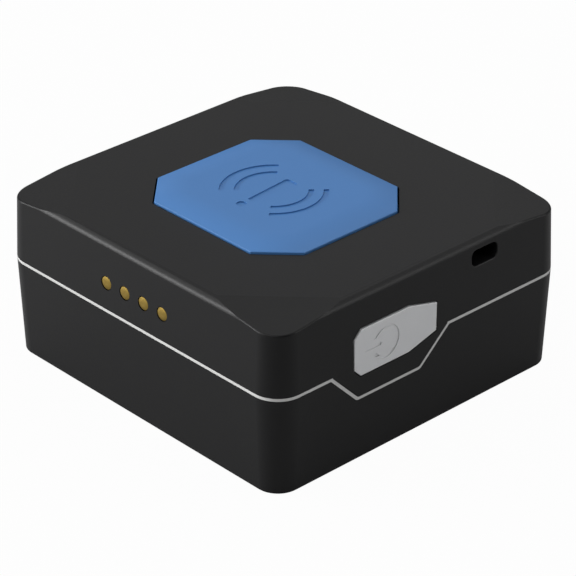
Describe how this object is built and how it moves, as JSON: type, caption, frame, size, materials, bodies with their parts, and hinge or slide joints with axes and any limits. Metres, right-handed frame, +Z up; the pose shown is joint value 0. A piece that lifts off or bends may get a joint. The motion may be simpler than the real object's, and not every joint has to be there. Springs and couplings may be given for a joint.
{
  "type": "gps tracker",
  "caption": "Small square black GPS tracker box with a blue octagonal alarm button, a grey side power key, gold charging contacts and a corner lanyard passage.",
  "frame": {"origin": "middle of the flat underside, on the surface that the box stands on", "axes": "+Z up through the alarm button, -Y out of the wall with the charging contacts, +X out of the wall with the power key and the lanyard slot"},
  "size_m": [0.044, 0.0428, 0.0207],
  "materials": {
    "case_plastic": "fine moulded texture",
    "seal_rubber": "satin light grey silicone",
    "alarm_plastic": "satin blue",
    "key_plastic": "satin silver paint",
    "inner_seal": "soft black silicone",
    "board": "green solder mask",
    "switch_plastic": "moulded",
    "plunger_plastic": "moulded",
    "antenna_ceramic": "fired, matt",
    "silver_plate": "silvered",
    "shield_steel": "tinned sheet",
    "chip_black": "moulded epoxy",
    "antenna_film": "amber film",
    "motor_steel": "plated",
    "card_plastic": "plain card",
    "battery_foil": "satin pouch foil",
    "foam": "foam tape",
    "lead_red": "insulated lead",
    "lead_black": "insulated lead",
    "connector_plastic": "moulded nylon",
    "gold_plate": "gold plated",
    "magnet_nickel": "nickel plated",
    "screw_steel": "black zinc"
  },
  "bodies": {
    "housing": {"upper_case": "case_plastic", "lower_case": "case_plastic", "seam_seal": "seal_rubber", "sos_button_seal": "inner_seal", "side_button_seal": "inner_seal", "main_board": "board", "sos_switch_body": "switch_plastic", "side_switch_body": "switch_plastic", "gnss_antenna_ceramic": "antenna_ceramic", "gnss_antenna_electrode": "silver_plate", "gnss_feed_pin": "silver_plate", "modem_module": "board", "modem_shield": "shield_steel", "bluetooth_module": "shield_steel", "board_chips": "chip_black", "cellular_antenna": "antenna_film", "motor_case": "motor_steel", "motor_base": "motor_steel", "motor_shaft": "motor_steel", "sim_holder": "shield_steel", "sim_card": "card_plastic", "battery_pad": "foam", "battery_cell": "battery_foil", "battery_protection_board": "board", "battery_socket": "connector_plastic", "battery_plug": "connector_plastic", "battery_lead_red": "lead_red", "battery_lead_black": "lead_black", "charge_contacts": "gold_plate", "contact_carrier": "switch_plastic", "charge_magnets": "magnet_nickel", "contact_springs": "gold_plate", "case_screws": "screw_steel"},
    "alarm_button": {"sos_button": "alarm_plastic"},
    "alarm_plunger": {"sos_switch_plunger": "plunger_plastic"},
    "power_key": {"side_button": "key_plastic"},
    "power_plunger": {"side_switch_plunger": "plunger_plastic"},
    "motor_weight": {"motor_rotor": "motor_steel"}
  },
  "joints": [
    {"name": "alarm_press", "type": "slide", "parent": "housing", "child": "alarm_button", "axis": [0, 0, -1], "range_m": [0, 0.0005], "stiffness_N_per_m": 4000},
    {"name": "alarm_plunger_press", "type": "slide", "parent": "housing", "child": "alarm_plunger", "axis": [0, 0, -1], "range_m": [0, 0.0005]},
    {"name": "power_press", "type": "slide", "parent": "housing", "child": "power_key", "axis": [-1, 0, 0], "range_m": [0, 0.0004], "stiffness_N_per_m": 4000},
    {"name": "power_plunger_press", "type": "slide", "parent": "housing", "child": "power_plunger", "axis": [-1, 0, 0], "range_m": [0, 0.0004]},
    {"name": "motor_spin", "type": "hinge", "parent": "housing", "child": "motor_weight", "pos_m": [0.0088, -0.0098, 0.0132], "axis": [0, 0, 1], "continuous": true}
  ],
  "couplings": [
    {"joint": "alarm_plunger_press", "follows": "alarm_press", "ratio": 1},
    {"joint": "power_plunger_press", "follows": "power_press", "ratio": 1}
  ]
}
